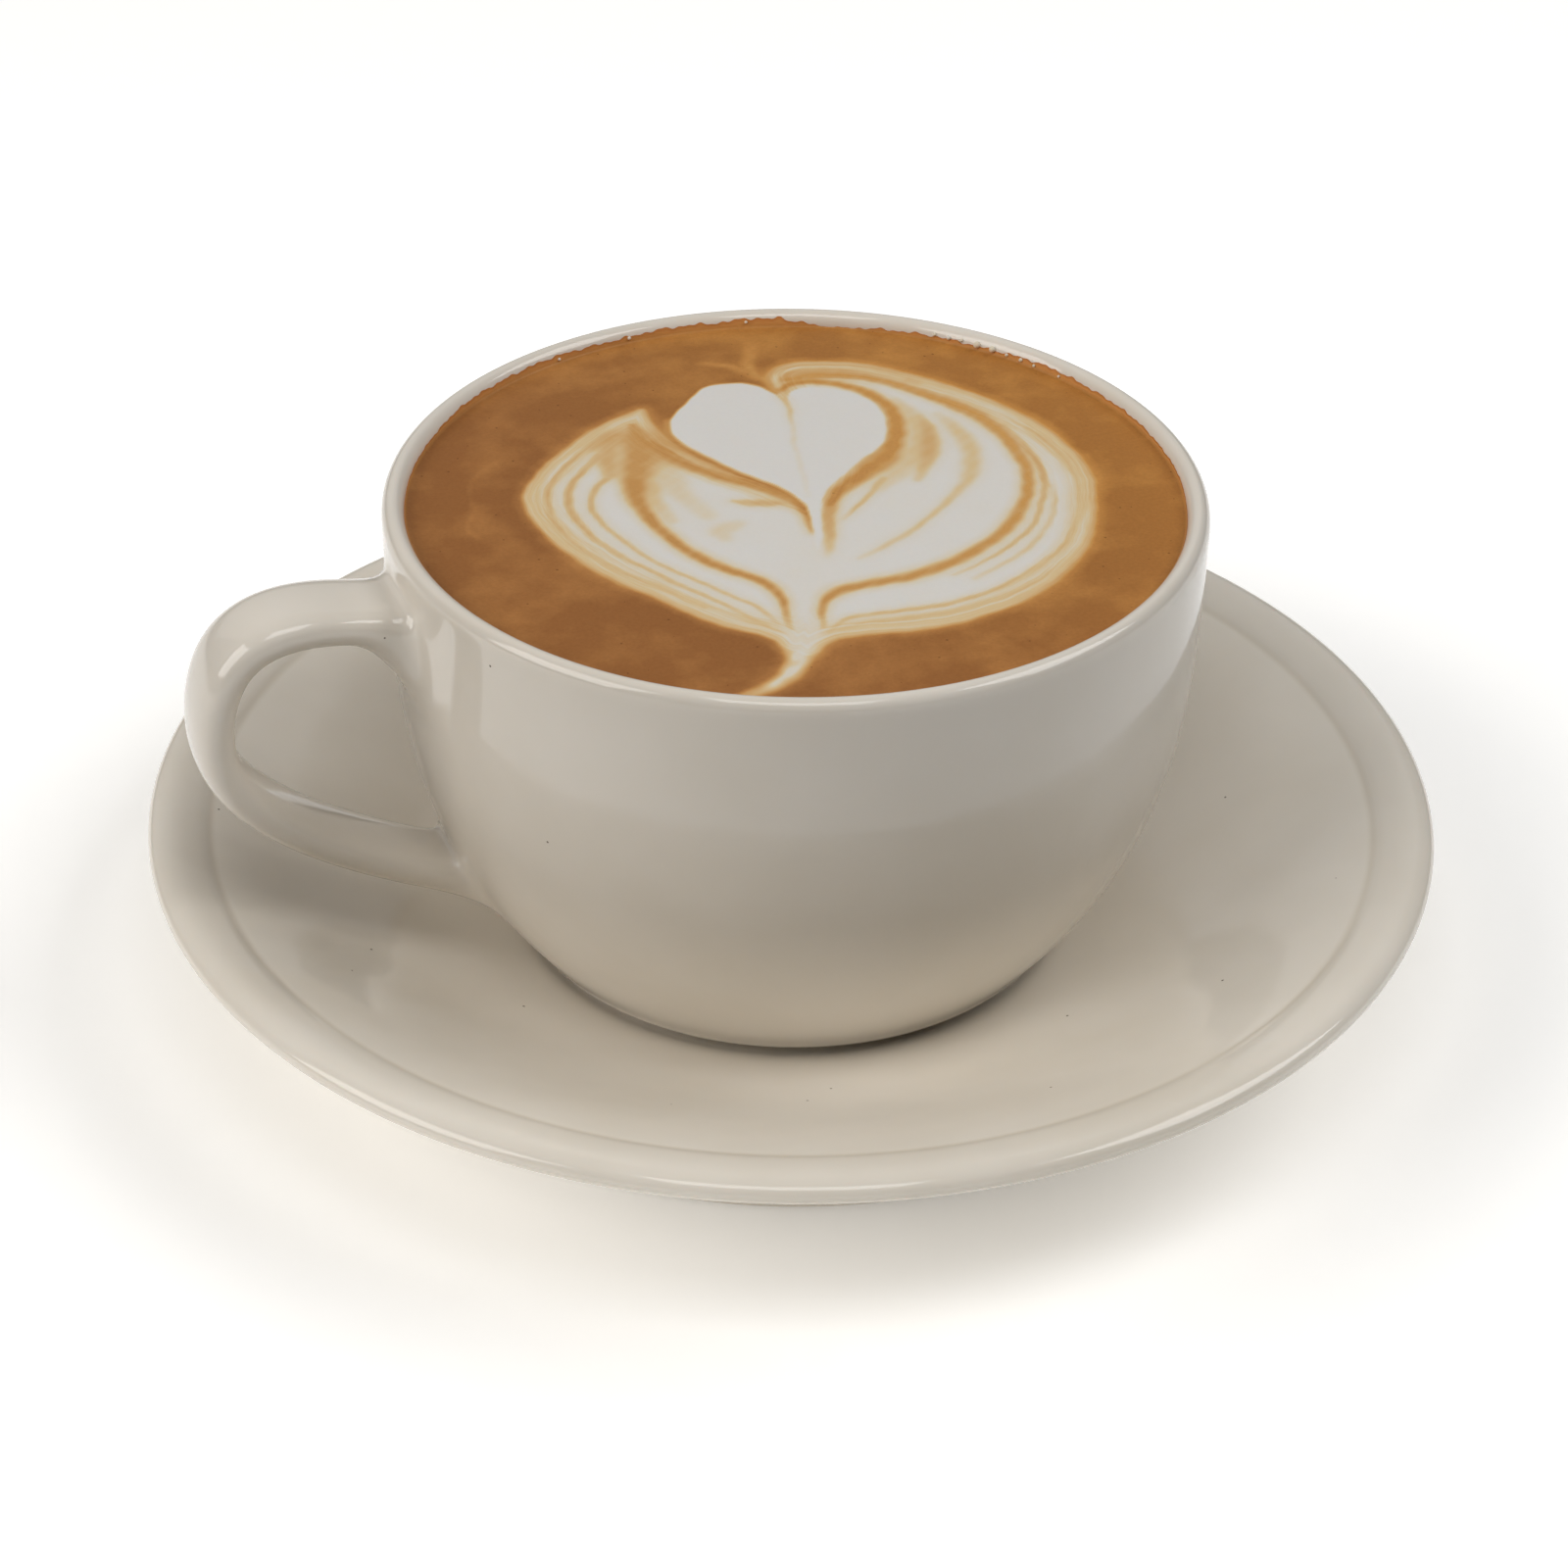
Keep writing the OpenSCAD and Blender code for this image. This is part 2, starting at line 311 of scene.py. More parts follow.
def finish_piece(piece, name, material, node_name):
    """Names a piece, gives it its material, hangs it on the root body and hides the part of the CAD model
    it stands for.
    """
    piece.name = name
    piece.data.name = name
    piece.data.materials.clear()
    piece.data.materials.append(material)
    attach(piece, "root")
    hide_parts(node_name)


def smooth_levels(piece, levels):
    """Applies a subdivision surface and shades the result smooth."""
    deselect_all()
    piece.select_set(True)
    bpy.context.view_layer.objects.active = piece
    rounder = piece.modifiers.new("rounder", "SUBSURF")
    rounder.levels = levels
    rounder.render_levels = levels
    bpy.ops.object.modifier_apply(modifier=rounder.name)
    bpy.ops.object.shade_smooth()


def turned(outline, steps):
    """Turns an outline of (radius, height) points, from axis to axis, on the Z axis."""
    deselect_all()
    first = outline[0]
    bpy.ops.mesh.primitive_plane_add(size=MM, location=(0, 0, 0))
    piece = bpy.context.object
    bpy.ops.object.mode_set(mode="EDIT")
    bpy.ops.mesh.select_all(action="SELECT")
    bpy.ops.mesh.merge(type="CENTER")
    bpy.ops.transform.translate(value=(first[0] * MM, 0, first[1] * MM))
    for last, point in zip(outline, outline[1:]):
        step = ((point[0] - last[0]) * MM, 0, (point[1] - last[1]) * MM)
        bpy.ops.mesh.extrude_vertices_move(TRANSFORM_OT_translate={"value": step})
    bpy.ops.mesh.select_all(action="SELECT")
    bpy.ops.mesh.spin(steps=steps, angle=2 * math.pi, center=(0, 0, 0), axis=(0, 0, 1))
    bpy.ops.mesh.select_all(action="SELECT")
    bpy.ops.mesh.remove_doubles(threshold=0.01 * MM)
    bpy.ops.mesh.normals_make_consistent(inside=False)
    bpy.ops.object.mode_set(mode="OBJECT")
    return piece


def bezier(a, b, c, d, t):
    """Point at t, 0 to 1, on a cubic curve from a to d that heads for b and comes in from c."""
    a, b, c, d = (np.array(p, dtype=float) for p in (a, b, c, d))
    return (1 - t) ** 3 * a + 3 * (1 - t) ** 2 * t * b + 3 * (1 - t) * t * t * c + t ** 3 * d


def side_radius(z, z_low, z_top, r_low, r_top, power):
    """Radius of a bowl's side that swells from r_low at z_low to r_top at z_top."""
    t = (z_top - z) / (z_top - z_low)
    return r_low + (r_top - r_low) * max(0.0, 1 - t ** power) ** (1 / SIDE_SHARPNESS)


# ---------------------------------------------------------------- saucer

SAUCER_STEPS = 64


def make_saucer(material):
    """The saucer: a flat well, a dish that rises to a shallow groove, a rounded rim and a foot ring."""
    rim_r = SAUCER_R
    rim_z = SAUCER_RIM_Z
    foot_r = SAUCER_FOOT_R
    dish = [bezier((WELL_R + 1.8, WELL_Z + 0.9), (WELL_R + 17, WELL_Z + 4), (rim_r - 18.5, rim_z - 5.2),
                   (rim_r - 8.4, rim_z - 1.95), i / 12) for i in range(13)]
    rim = [(rim_r + out, rim_z + up) for out, up in
           ((-7.7, -1.78), (-7.2, -1.55), (-6.6, -1.22), (-5.9, -0.9), (-4.5, -0.42), (-3.1, -0.1),
            (-1.8, -0.1), (-0.7, -0.4), (-0.05, -1.0), (0.1, -1.8), (-0.2, -2.5), (-1.2, -3.0))]
    under = [bezier((rim_r - 3.4, rim_z - 3.7), (rim_r - 16, rim_z - 8.9), (foot_r + 8, 5.4),
                    (foot_r + 1.2, 3.3), i / 7) for i in range(8)]
    foot = [(foot_r + out, z) for out, z in
            ((0.2, 2.5), (0, 1.4), (-0.1, 0.4), (-0.9, 0.0), (-2.9, 0.0), (-3.8, 0.4), (-4.1, 1.4),
             (-5.2, 2.4), (-9, 1.6), (-22, 1.4))]
    base = [(12, 1.4), (0, 1.4)]
    well = [(0, WELL_Z), (12, WELL_Z), (WELL_R - 6, WELL_Z), (WELL_R - 1, WELL_Z),
            (WELL_R + 0.5, WELL_Z + 0.2)]
    piece = turned(well + dish + rim + under + foot + base, SAUCER_STEPS)
    smooth_levels(piece, 2)
    finish_piece(piece, "saucer_glazed", material, "saucer")
    return piece


# ---------------------------------------------------------------- cup

CUP_STEPS = 48
INSIDE_POWER = 4.6
OUTSIDE_POWER = 3.46
SIDE_SHARPNESS = 0.97
# Heights of the cage rows where the strap's ends join
HOLE_ROWS_TOP = (47.6, 54.0, 59.8)
HOLE_ROWS_LOW = (15.6, 20.2, 24.8)
HOLE_SPREAD = 0.13
# Where the strap's own rings start and end on its line, short of the bowl's wall
STRAP_START = 0.085
STRAP_END = 0.868
STRAP_RINGS = 18
# What the cage stands out by, so that subdivision lands on size
GROW_ACROSS = 1.045
GROW_THICK = 1.075
GROW_LIP = 1.04


def strap_line(t):
    """Middle line of the strap as (reach, height), from the upper end round to the lower one."""
    if t < 0.5:
        return bezier((CUP_R - 3.2, STRAP_TOP_Z), (CUP_R + 12, STRAP_TOP_Z + 5.8),
                      (STRAP_REACH, STRAP_MID_Z + 16.4), (STRAP_REACH, STRAP_MID_Z), 2 * t)
    return bezier((STRAP_REACH, STRAP_MID_Z), (STRAP_REACH, STRAP_MID_Z - 13.7),
                  (CUP_R - 7, STRAP_LOW_Z + 1.4), (CUP_R - 11.2, STRAP_LOW_Z), 2 * t - 1)


def strap_frame(t):
    """Place on the strap's line and the line's outward normal, as (reach, height)."""
    here = strap_line(t)
    along = strap_line(min(1, t + 0.004)) - strap_line(max(0, t - 0.004))
    along = along / np.linalg.norm(along)
    return here, np.array([-along[1], along[0]])


def strap_ring(t):
    """Eight points round the strap; subdivision rounds them to its oval section."""
    here, out = strap_frame(t)
    width = STRAP_W_TOP + (STRAP_W_LOW - STRAP_W_TOP) * t
    half_w = width / 2 * GROW_ACROSS
    half_t = STRAP_T / 2 * GROW_THICK
    ring = []
    for across, height in ((1, 0), (0.86, 0.84), (0, 1), (-0.86, 0.84),
                           (-1, 0), (-0.86, -0.84), (0, -1), (0.86, -0.84)):
        reach, z = here + out * height * half_t
        ring.append(Vector((-reach, across * half_w, z)) * MM)
    return ring


def make_strap():
    """The strap, extruded ring by ring from an eight-sided section."""
    places = [STRAP_START + (STRAP_END - STRAP_START) * i / (STRAP_RINGS - 1) for i in range(STRAP_RINGS)]
    deselect_all()
    bpy.ops.mesh.primitive_circle_add(vertices=8, radius=5 * MM, fill_type="NOTHING")
    piece = bpy.context.object
    for vertex, point in zip(piece.data.vertices, strap_ring(places[0])):
        vertex.co = point
    bpy.ops.object.mode_set(mode="EDIT")
    bpy.ops.mesh.select_all(action="SELECT")
    for place in places[1:]:
        bpy.ops.mesh.extrude_region_move()
        shape = bmesh.from_edit_mesh(piece.data)
        shape.verts.ensure_lookup_table()
        ring = shape.verts[-8:]
        for vertex, point in zip(ring, strap_ring(place)):
            vertex.co = point
        bmesh.update_edit_mesh(piece.data)
    bpy.ops.object.mode_set(mode="OBJECT")
    return piece


def make_bowl():
    """The bowl as a coarse cage; its points stand out a little so that subdivision lands on size."""
    grow = 3 / (2 + math.cos(2 * math.pi / CUP_STEPS))
    lip_z = CUP_TOP - LIP_H
    lip_r = CUP_R - WALL / 2
    rows = [lip_z - 0.9, HOLE_ROWS_TOP[2], HOLE_ROWS_TOP[1], HOLE_ROWS_TOP[0], 43.6, 39.6, 36.0, 32.4, 28.7,
            HOLE_ROWS_LOW[2], HOLE_ROWS_LOW[1], HOLE_ROWS_LOW[0], 12.4, 10.0, 8.4]
    inner_rows = [14.5, 17.5, 21.5, 26.5, 32.0, 38.0, 44.0, 50.0, 55.5, 60.0, lip_z - 0.6]
    inside = [(0, FLOOR_Z), (8, FLOOR_Z), (17, FLOOR_Z), (23, FLOOR_Z + 0.1), (26.5, FLOOR_Z + 1.4)]
    inside += [(side_radius(z, FLOOR_Z + 0.6, lip_z, 26, INNER_R, INSIDE_POWER), z) for z in inner_rows]
    lip_turn = [math.radians(angle) for angle in (165, 140, 115, 90, 65, 40, 15)]
    lip = [(lip_r + WALL / 2 * GROW_LIP * math.cos(a), lip_z + LIP_H * GROW_LIP * math.sin(a))
           for a in lip_turn]
    outside = [(side_radius(z, BOWL_LOW_Z, CUP_TOP, BOWL_LOW_R, CUP_R, OUTSIDE_POWER), z) for z in rows]
    foot = [(BOWL_LOW_R + 0.15, BOWL_LOW_Z + 0.1), (BOWL_LOW_R - 0.1, BOWL_LOW_Z - 0.55),
            (BOWL_LOW_R - 1.1, BOWL_LOW_Z - 0.95)]
    foot += [(CUP_FOOT_R + out, WELL_Z + up) for out, up in
             ((1.2, 1.25), (0.2, 0.7), (-0.1, 0.25), (-0.7, 0), (-2.5, 0), (-3.2, 0.3), (-4, 1.2))]
    foot += [(14, WELL_Z + 1.3), (0, WELL_Z + 1.3)]
    outline = [(r * grow, z) for r, z in inside + lip + outside + foot]
    return turned(outline, CUP_STEPS)


def open_for_strap(piece, rows):
    """Deletes the four cage faces where one end of the strap joins, leaving an edge loop of eight."""
    bpy.ops.object.mode_set(mode="EDIT")
    bpy.ops.mesh.select_mode(type="FACE")
    bpy.ops.mesh.select_all(action="DESELECT")
    shape = bmesh.from_edit_mesh(piece.data)
    for face in shape.faces:
        centre = face.calc_center_median()
        radius = math.hypot(centre.x, centre.y)
        outside = radius > INNER_R * MM * 0.45 and face.normal.x * centre.x + face.normal.y * centre.y > 0
        beside = centre.x < 0 and abs(centre.y) < radius * HOLE_SPREAD
        face.select_set(outside and beside and rows[0] * MM < centre.z < rows[2] * MM)
    bmesh.update_edit_mesh(piece.data)
    bpy.ops.mesh.delete(type="FACE")
    bpy.ops.mesh.select_mode(type="VERT")
    bpy.ops.object.mode_set(mode="OBJECT")


def bridge_loops(piece, z_low, z_high):
    """Bridges the open edge loops that lie on the strap's side between two heights."""
    bpy.ops.object.mode_set(mode="EDIT")
    bpy.ops.mesh.select_mode(type="EDGE")
    bpy.ops.mesh.select_all(action="DESELECT")
    shape = bmesh.from_edit_mesh(piece.data)
    for edge in shape.edges:
        middle = (edge.verts[0].co + edge.verts[1].co) / 2
        at_height = z_low * MM < middle.z < z_high * MM
        edge.select = edge.is_boundary and at_height and middle.x < -20 * MM
    bmesh.update_edit_mesh(piece.data)
    bpy.ops.mesh.bridge_edge_loops()
    bpy.ops.mesh.select_mode(type="VERT")
    bpy.ops.object.mode_set(mode="OBJECT")


def make_cup(material):
    """The cup: bowl and strap bridged into one skin."""
    bowl = make_bowl()
    open_for_strap(bowl, HOLE_ROWS_TOP)
    open_for_strap(bowl, HOLE_ROWS_LOW)
    strap = make_strap()
    deselect_all()
    strap.select_set(True)
    bowl.select_set(True)
    bpy.context.view_layer.objects.active = bowl
    bpy.ops.object.join()
    bridge_loops(bowl, 45, 70)
    bridge_loops(bowl, 8, 40)
    bpy.ops.object.mode_set(mode="EDIT")
    bpy.ops.mesh.select_all(action="SELECT")
    bpy.ops.mesh.normals_make_consistent(inside=False)
    bpy.ops.object.mode_set(mode="OBJECT")
    smooth_levels(bowl, 2)
    finish_piece(bowl, "cup_glazed", material, "cup")
    return bowl


# ---------------------------------------------------------------- the poured pattern
# Points are (right, away) in mm from the middle of the drink, as the pourer sees it.

HEART = [(-2.6, 27.1), (-3.4, 28.0), (-4.9, 29.4), (-7.0, 30.3), (-9.6, 30.1), (-11.7, 29.0),
         (-13.2, 26.6), (-14.4, 23.8), (-15.5, 20.9), (-15.8, 18.6), (-15.1, 16.0), (-13.4, 13.1),
         (-11.0, 10.6), (-8.5, 7.9), (-6.3, 6.0), (-4.0, 4.3), (-1.9, 2.7), (-0.1, 0.9), (1.1, -1.2),
         (1.8, -4.5), (2.1, -9.0), (2.6, -12.0), (3.0, -9.0), (3.1, -4.5), (3.3, 0.2), (4.1, 3.4),
         (5.6, 6.4), (7.8, 10.0), (9.7, 12.6), (10.8, 15.2), (11.1, 18.4), (10.7, 21.6), (9.7, 24.9),
         (8.1, 27.0), (5.9, 28.6), (3.2, 29.4), (0.6, 29.2), (-0.7, 28.2), (-1.3, 26.4), (-1.6, 25.2),
         (-2.0, 25.8)]

LEFT_WING = [(-19.4, 22.8), (-21.2, 21.4), (-23.4, 19.4), (-25.6, 16.6), (-27.4, 13.6), (-29.4, 10.0),
             (-31.1, 6.4), (-32.2, 2.8), (-32.5, -0.2), (-32.1, -3.4), (-30.8, -6.8), (-29.2, -10.0),
             (-27.0, -13.0), (-24.6, -15.8), (-22.0, -18.8), (-19.5, -21.2), (-16.6, -23.2),
             (-13.6, -25.6), (-10.0, -28.4), (-6.9, -30.3), (-4.1, -31.4), (-2.1, -32.6), (-1.0, -34.2),
             (1.4, -34.4), (5.0, -29.0), (7.0, -18.0), (5.0, -5.0), (2.2, -0.4), (0.4, 0.8),
             (-1.6, 2.4), (-4.6, 4.7), (-8.1, 7.2), (-11.2, 9.8), (-13.6, 12.1), (-16.0, 15.1),
             (-17.8, 18.6)]

RIGHT_WING = [(-3.4, 31.0), (-3.7, 33.0), (-2.6, 35.0), (-0.7, 36.3), (2.0, 36.9), (5.3, 36.7),
              (8.7, 36.0), (11.9, 34.8), (15.2, 33.2), (18.6, 31.2), (21.9, 28.8), (24.7, 26.4),
              (27.4, 23.7), (30.0, 20.8), (32.0, 17.8), (33.6, 14.8), (34.8, 11.6), (35.5, 8.6),
              (35.9, 5.2), (36.0, 1.6), (35.8, -2.0), (35.3, -5.6), (34.5, -9.0), (33.4, -12.4),
              (31.8, -15.7), (29.8, -18.9), (27.4, -21.8), (25.0, -24.1), (22.2, -26.1), (19.2, -27.9),
              (16.2, -29.2), (12.6, -30.3), (8.4, -31.2), (5.9, -31.7), (4.4, -32.6), (3.3, -34.0),
              (2.2, -35.4), (0.4, -34.8), (-2.6, -28.5), (-5.0, -18.0), (-3.0, -6.0), (1.0, 2.0),
              (2.0, 10.0), (0.0, 22.0), (-2.2, 27.4)]


def smooth_path(points, closed=False, spacing=0.6):
    """A Catmull-Rom curve through points, cut into steps of about spacing mm. The points may
    carry further values after their place, which follow the same curve."""
    p = np.array(points, dtype=float)
    if closed:
        p = np.vstack([p[-1], p, p[0], p[1]])
    else:
        p = np.vstack([2 * p[0] - p[1], p, 2 * p[-1] - p[-2]])
    path = []
    for a, b, c, d in zip(p, p[1:], p[2:], p[3:]):
        steps = max(1, int(np.hypot(*(c - b)[:2]) / spacing))
        t = (np.arange(steps) / steps)[:, None]
        bend = (2 * a - 5 * b + 4 * c - d) * t ** 2 + (3 * b - 3 * c + d - a) * t ** 3
        path.append(0.5 * (2 * b + (c - a) * t + bend))
    if not closed:
        path.append(p[-2][None, :])
    return np.vstack(path)


def near_path(place, path):
    """For each place, the distance to the path and the path's further values at the nearest point."""
    best = np.full(len(place), 1e9)
    values = np.zeros((len(place), path.shape[1] - 2))
    for a, b in zip(path, path[1:]):
        run = b[:2] - a[:2]
        t = np.clip(((place - a[:2]) @ run) / max(run @ run, 1e-9), 0, 1)
        gap = np.hypot(*(place - a[:2] - t[:, None] * run).T)
        closer = gap < best
        best[closer] = gap[closer]
        values[closer] = (a[2:] + t[:, None] * (b[2:] - a[2:]))[closer]
    return best, values


def inside_depth(place, outline):
    """Signed distance in mm to a closed outline, positive inside it."""
    path = smooth_path(outline, closed=True)
    loop = np.vstack([path, path[0]])
    depth, _ = near_path(place, loop)
    x, y = place.T
    inside = np.zeros(len(place), dtype=bool)
    for (x0, y0), (x1, y1) in zip(loop, loop[1:]):
        if y0 == y1:
            continue
        crosses = ((y0 > y) != (y1 > y)) & (x < (x1 - x0) * (y - y0) / (y1 - y0) + x0)
        inside ^= crosses
    return np.where(inside, depth, -depth)


def smoothstep(low, high, value):
    """0 below low, 1 above high and a soft S between them."""
    t = np.clip((value - low) / (high - low), 0, 1)
    return t * t * (3 - 2 * t)


def draw_stroke(milk, place, points, milk_in_stroke):
    """Draws one trail of coffee or milk into the pattern. Each point is (right, away, half width,
    strength); round the trail's soft core lies a wider haze."""
    points = np.array(points, dtype=float)
    margin = points[:, 2].max() * 1.5 + 1.6
    low = points[:, :2].min(axis=0) - margin
    high = points[:, :2].max(axis=0) + margin
    near = np.flatnonzero(((place > low) & (place < high)).all(axis=1))
    gap, values = near_path(place[near], smooth_path(points))
    half_width = np.maximum(values[:, 0], 0.05)
    strength = np.clip(values[:, 1], 0, 1)
    core = 1 - smoothstep(half_width * 0.15, half_width * 1.35 + 0.08, gap)
    haze = 1 - smoothstep(0, half_width * 1.5 + 1.3, gap)
    x, y = place[near].T
    uneven = 1 + 0.10 * np.sin(1.3 * x + 0.8 * y) * np.sin(0.9 * y - 0.5 * x + 1.0)
    uneven += 0.06 * np.sin(3.1 * x - 2.3 * y)
    cover = np.clip(strength * uneven * (0.80 * core + 0.24 * haze), 0, 1)
    milk[near] += (milk_in_stroke - milk[near]) * cover


# Each trail: how much milk is in it, then its points
TRAILS_LEFT = [
    (0.50, [(-24.6, 12.6, 1.5, 0.5), (-22.4, 14.6, 2.4, 1), (-19.0, 14.6, 2.8, 1),
            (-16.0, 12.4, 2.2, 0.8)]),
    (0.78, [(-15.6, 9.0, 1.8, 0.4), (-15.2, 4.6, 2.0, 0.6), (-13.2, 0.2, 1.6, 0.5),
            (-10.4, -4.0, 1.4, 0.4)]),
    (0.40, [(-20.3, 18.2, 0.6, 0.9), (-19.6, 15.0, 1.6, 1), (-19.0, 11.4, 2.6, 1), (-19.3, 7.8, 2.8, 1),
            (-19.3, 4.4, 2.0, 1), (-19.0, 1.6, 1.6, 0.9)]),
    (0.58, [(-22.0, 15.0, 0.7, 0.8), (-22.8, 11.8, 1.4, 0.9), (-23.0, 8.6, 1.4, 0.9),
            (-22.4, 5.6, 1.1, 0.8)]),
    (0.36, [(-17.5, 13.2, 1.4, 0.9), (-15.4, 10.4, 1.6, 1), (-13.3, 8.4, 1.35, 1),
            (-11.0, 6.8, 1.15, 1), (-8.5, 5.2, 1.0, 1), (-6.0, 3.9, 0.95, 1), (-3.5, 2.3, 0.9, 1),
            (-1.5, 1.0, 0.85, 1), (0.1, -0.7, 0.7, 1), (1.0, -2.8, 0.55, 0.9), (1.5, -5.2, 0.45, 0.6),
            (1.8, -8.0, 0.4, 0.25)]),
    (0.72, [(-17.4, 2.6, 1.4, 0.7), (-16.4, -1.4, 1.2, 0.6), (-14.6, -5.6, 0.9, 0.4)]),
    (0.34, [(-19.5, 3.4, 1.3, 1), (-18.9, 0.0, 1.25, 1), (-18.2, -2.8, 1.1, 1), (-16.9, -6.0, 0.95, 1),
            (-15.1, -9.2, 0.85, 1), (-12.8, -12.3, 0.8, 1), (-10.0, -15.1, 0.8, 1),
            (-6.9, -17.5, 0.8, 1), (-4.2, -19.3, 0.75, 1), (-2.3, -21.4, 0.75, 1),
            (-1.4, -24.2, 0.55, 0.9), (-0.9, -27.2, 0.45, 0.6), (-0.3, -30.0, 0.4, 0.25)]),
    (0.60, [(-21.4, 17.6, 0.3, 0.5), (-23.5, 15.6, 0.35, 0.8), (-25.4, 12.5, 0.35, 0.8),
            (-27.0, 9.6, 0.35, 0.8), (-28.4, 6.6, 0.4, 0.8), (-29.3, 3.4, 0.4, 0.9),
            (-29.6, 0.2, 0.4, 0.9), (-29.3, -2.8, 0.4, 0.9), (-28.6, -5.9, 0.4, 0.8),
            (-27.5, -8.6, 0.35, 0.8), (-25.9, -11.1, 0.35, 0.7), (-23.8, -13.8, 0.35, 0.7),
            (-21.4, -16.4, 0.35, 0.6), (-18.4, -19.3, 0.3, 0.6), (-14.4, -22.3, 0.3, 0.5),
            (-10.2, -25.6, 0.3, 0.4)]),
    (0.58, [(-24.0, 10.4, 0.6, 0.7), (-25.7, 6.9, 0.5, 0.9), (-26.8, 3.4, 0.5, 0.9),
            (-27.1, 0.3, 0.5, 0.9), (-26.8, -2.5, 0.5, 0.9), (-25.9, -5.6, 0.5, 0.9),
            (-24.4, -8.7, 0.45, 0.8), (-22.2, -11.9, 0.4, 0.7), (-19.2, -15.2, 0.4, 0.7),
            (-16.0, -18.1, 0.4, 0.7), (-12.2, -21.4, 0.4, 0.7), (-8.5, -24.5, 0.35, 0.6),
            (-5.4, -27.4, 0.35, 0.5), (-2.9, -29.6, 0.3, 0.3)]),
    (0.60, [(-22.9, 4.4, 0.5, 0.8), (-24.0, 1.9, 0.45, 0.8), (-24.3, -1.2, 0.4, 0.8),
            (-23.8, -4.1, 0.4, 0.8), (-22.6, -7.0, 0.35, 0.7), (-20.4, -10.4, 0.35, 0.6),
            (-17.9, -13.7, 0.35, 0.6), (-15.3, -16.3, 0.35, 0.6), (-11.6, -19.2, 0.35, 0.6),
            (-7.9, -22.4, 0.35, 0.6), (-4.9, -24.9, 0.35, 0.6), (-3.0, -27.2, 0.35, 0.5),
            (-1.7, -28.9, 0.3, 0.3)]),
    (0.60, [(-0.8, -0.9, 0.5, 0.5), (-3.0, -1.1, 0.8, 0.8), (-5.2, -1.1, 0.9, 0.8),
            (-7.4, -0.7, 0.4, 0.5)]),
    (0.78, [(-7.0, -6.4, 1.2, 0.4), (-8.8, -7.8, 1.6, 0.6), (-8.2, -9.6, 1.0, 0.4)]),
]

